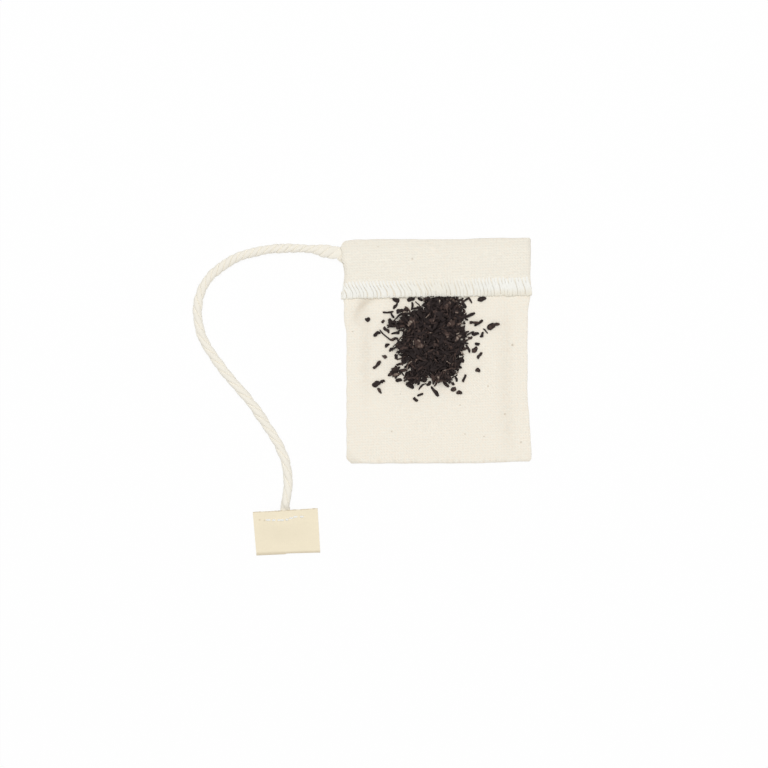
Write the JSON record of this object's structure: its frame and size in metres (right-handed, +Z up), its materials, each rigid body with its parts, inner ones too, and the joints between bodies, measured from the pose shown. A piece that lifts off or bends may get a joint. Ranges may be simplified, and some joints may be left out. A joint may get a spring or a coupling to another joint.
{
  "type": "muslin tea bag",
  "caption": "Reusable cloth tea bag: a flat muslin pouch with an overlocked fold-over flap, loose black tea heaped on its front, and a twisted cord with a folded tape tag.",
  "frame": {"origin": "under the middle of the pouch, on the surface that it lies on", "axes": "+Z up from the back panel to the flap, +Y from the bottom fold to the top fold, +X to the right as the flap is seen"},
  "size_m": [0.136, 0.1267, 0.0087],
  "materials": {
    "muslin": "unbleached plain-weave cotton, matte",
    "overlock_thread": "soft white spun thread, matte",
    "black_tea": "dry curled leaf, dark brown to black, dull",
    "cotton_cord": "soft twisted cotton, slightly hairy",
    "cotton_tape": "cream woven tape, smooth, brownish at its edges",
    "sewing_thread": "white sewing thread"
  },
  "bodies": {
    "root": {"pouch": "muslin", "flap_overlock": "overlock_thread", "loose_tea": "black_tea", "cord": "cotton_cord", "tag": "cotton_tape", "tag_stitching": "sewing_thread"}
  },
  "joints": []
}
